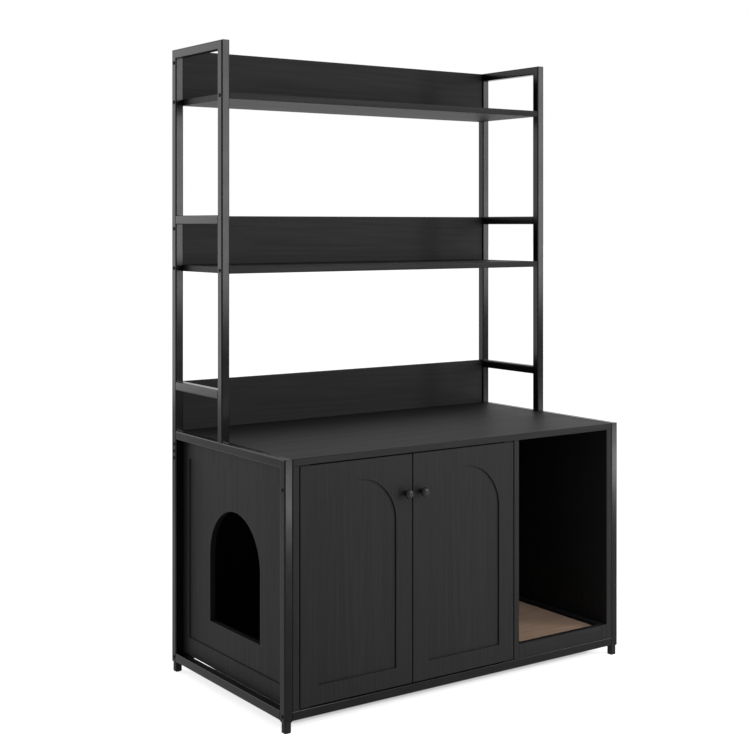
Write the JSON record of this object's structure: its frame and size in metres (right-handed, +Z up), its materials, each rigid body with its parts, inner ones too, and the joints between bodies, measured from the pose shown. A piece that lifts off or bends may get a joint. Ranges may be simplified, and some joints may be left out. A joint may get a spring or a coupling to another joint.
{
  "type": "cat litter box cabinet",
  "caption": "Black floor cabinet in a square tube frame, with doors over a litter compartment, an arched cat entrance, an open scratching bay and an open shelf hutch.",
  "frame": {"origin": "on the floor, in the middle of the closed cabinet's footprint with the knobs counted", "axes": "+Z up, +X to the right as seen from the front, +Y to the wall behind; the doors face -Y"},
  "size_m": [1.17, 0.66, 1.8],
  "materials": {
    "frame_steel": "satin black powder coat",
    "black_board": "black laminated board with faint wood grain",
    "knob_metal": "satin black",
    "black_plastic": "matte moulded",
    "sleeve_steel": "plain steel tube",
    "plated_steel": "zinc plated",
    "magnet": "bare ferrite",
    "pad_board": "plain fibreboard",
    "mat_fabric": "woven sisal"
  },
  "bodies": {
    "cabinet": {"bay_floor_panel": "black_board", "catch_housing": "black_plastic", "catch_magnets": "magnet", "divider_panel": "black_board", "front_bottom_rail": "frame_steel", "hutch_post_plugs": "black_plastic", "left_back_panel": "black_board", "left_bottom_rail": "frame_steel", "left_front_foot": "black_plastic", "left_front_post": "frame_steel", "left_hutch_front_post": "frame_steel", "left_hutch_low_rail": "frame_steel", "left_hutch_middle_rail": "frame_steel", "left_hutch_rear_post": "frame_steel", "left_hutch_top_rail": "frame_steel", "left_lower_pivot": "plated_steel", "left_rear_foot": "black_plastic", "left_rear_post": "frame_steel", "left_side_panel": "black_board", "left_top_rail": "frame_steel", "left_upper_pivot": "plated_steel", "litter_floor_panel": "black_board", "lower_splash_board": "black_board", "middle_shelf": "black_board", "middle_splash_board": "black_board", "post_sleeves": "sleeve_steel", "rail_end_plugs": "black_plastic", "rear_bottom_rail": "frame_steel", "right_back_panel": "black_board", "right_bottom_rail": "frame_steel", "right_front_foot": "black_plastic", "right_front_post": "frame_steel", "right_hutch_front_post": "frame_steel", "right_hutch_low_rail": "frame_steel", "right_hutch_middle_rail": "frame_steel", "right_hutch_rear_post": "frame_steel", "right_hutch_top_rail": "frame_steel", "right_lower_pivot": "plated_steel", "right_rear_foot": "black_plastic", "right_rear_post": "frame_steel", "right_side_panel": "black_board", "right_top_rail": "frame_steel", "right_upper_pivot": "plated_steel", "scratching_mat": "mat_fabric", "scratching_pad_board": "pad_board", "tabletop": "black_board", "top_shelf": "black_board", "top_splash_board": "black_board", "tray_front_board": "black_board", "tray_left_board": "black_board", "tray_right_board": "black_board"},
    "left_door": {"left_door": "black_board", "left_knob": "knob_metal", "left_strike_plate": "plated_steel"},
    "right_door": {"right_door": "black_board", "right_knob": "knob_metal", "right_strike_plate": "plated_steel"}
  },
  "joints": [
    {"name": "left_door_hinge", "type": "hinge", "parent": "cabinet", "child": "left_door", "pos_m": [-0.532, -0.294, 0.367], "axis": [0, 0, -1], "range_deg": [0, 105]},
    {"name": "right_door_hinge", "type": "hinge", "parent": "cabinet", "child": "right_door", "pos_m": [0.169, -0.294, 0.367], "axis": [0, 0, 1], "range_deg": [0, 105]}
  ]
}
